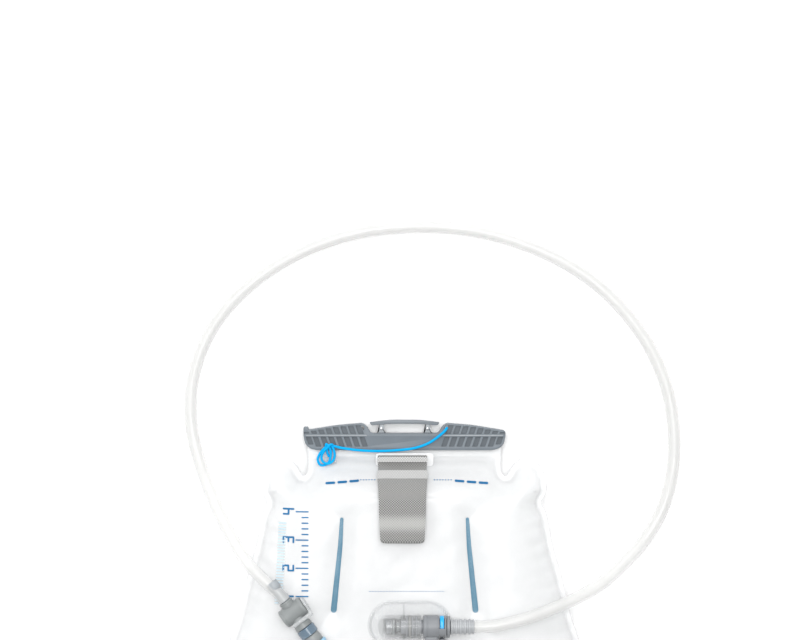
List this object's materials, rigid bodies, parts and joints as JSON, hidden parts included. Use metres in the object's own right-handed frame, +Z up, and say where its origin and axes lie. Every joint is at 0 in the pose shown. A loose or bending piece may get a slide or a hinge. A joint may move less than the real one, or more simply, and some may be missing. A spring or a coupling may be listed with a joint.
{
  "type": "hydration bladder",
  "caption": "Clear film drinking bladder with a slide seal across its mouth, a webbing strap, a plug-in drink tube, a shut-off valve and a bite valve.",
  "frame": {"origin": "under the middle of the bag and its slide seal, on the surface that the bag lies on", "axes": "+X across the bag, +Y from its bottom edge towards the mouth, +Z up out of the front panel"},
  "size_m": [0.3781, 0.3631, 0.0619],
  "materials": {
    "film": "frosted clear film, satin",
    "moulded_clear": "clear moulded plastic, glossy",
    "slide_grey": "satin blue-grey moulding",
    "connector_grey": "satin grey moulding",
    "valve_grey": "satin light grey moulding",
    "cyan": "bright cyan, satin gloss",
    "cyan_cord": "smooth soft cyan cord",
    "webbing": "woven grey webbing",
    "hook_loop": "hook and loop tape",
    "seal": "dark moulded seal",
    "hose": "frosted translucent tube",
    "silicone": "white silicone",
    "steel": "bright steel"
  },
  "bodies": {
    "bladder": {"front_panel": "film", "back_panel": "film", "baffle_left": "film", "baffle_right": "film", "mouth_bead": "film", "strap_tab": "moulded_clear", "tether_eyelet": "moulded_clear", "port_housing": "moulded_clear", "poppet_spring": "steel", "valve_body": "valve_grey", "valve_collar": "moulded_clear", "tether_cord": "cyan_cord"},
    "poppet": {"port_poppet": "valve_grey", "poppet_seal": "seal"},
    "slide": {"slide_seal": "slide_grey", "handle_bar": "slide_grey", "rivet_left": "steel", "rivet_right": "steel"},
    "strap": {"strap_back": "webbing", "loop_tape": "hook_loop"},
    "flap": {"strap_front": "webbing", "hook_tape": "hook_loop"},
    "plug": {"plug_body": "connector_grey", "plug_oring": "seal", "connector_shell": "connector_grey", "connector_collar": "connector_grey", "hose_boot": "connector_grey", "drink_tube": "hose"},
    "latch": {"latch_clip": "cyan", "latch_button": "connector_grey"},
    "lever": {"shutoff_lever": "moulded_clear", "valve_spool": "valve_grey", "spool_oring": "seal"},
    "bite": {"bite_housing": "valve_grey", "bite_ring": "cyan", "mouthpiece": "silicone"}
  },
  "joints": [
    {"name": "slide_off", "type": "slide", "parent": "bladder", "child": "slide", "axis": [1, 0, 0], "range_m": [-0.074, 0], "deforming": ["tether_cord"]},
    {"name": "strap_swing", "type": "hinge", "parent": "bladder", "child": "strap", "pos_m": [0, 0.078, 0.0167], "axis": [-1, 0, 0], "range_deg": [0, 100]},
    {"name": "flap_open", "type": "hinge", "parent": "strap", "child": "flap", "pos_m": [0, 0.0152, 0.0472], "axis": [1, 0, 0], "range_deg": [0, 150]},
    {"name": "plug_out", "type": "slide", "parent": "bladder", "child": "plug", "axis": [1, 0, 0], "range_m": [0, 0.016], "deforming": ["drink_tube"]},
    {"name": "poppet_close", "type": "slide", "parent": "bladder", "child": "poppet", "axis": [1, 0, 0], "range_m": [0, 0.00128], "deforming": ["poppet_spring"]},
    {"name": "latch_press", "type": "slide", "parent": "plug", "child": "latch", "axis": [0, 1, 0], "range_m": [0, 0.0022], "stiffness_N_per_m": 800},
    {"name": "shutoff_turn", "type": "hinge", "parent": "bladder", "child": "lever", "pos_m": [-0.08262, -0.03594, 0.0506], "axis": [0.8, 0.6, 0], "range_deg": [-90, 0]},
    {"name": "bite_swivel", "type": "hinge", "parent": "bladder", "child": "bite", "pos_m": [-0.0618, -0.0637, 0.0506], "axis": [0.6, -0.8, 0], "continuous": true}
  ],
  "couplings": [
    {"joint": "poppet_close", "follows": "plug_out", "ratio": 0.08}
  ]
}
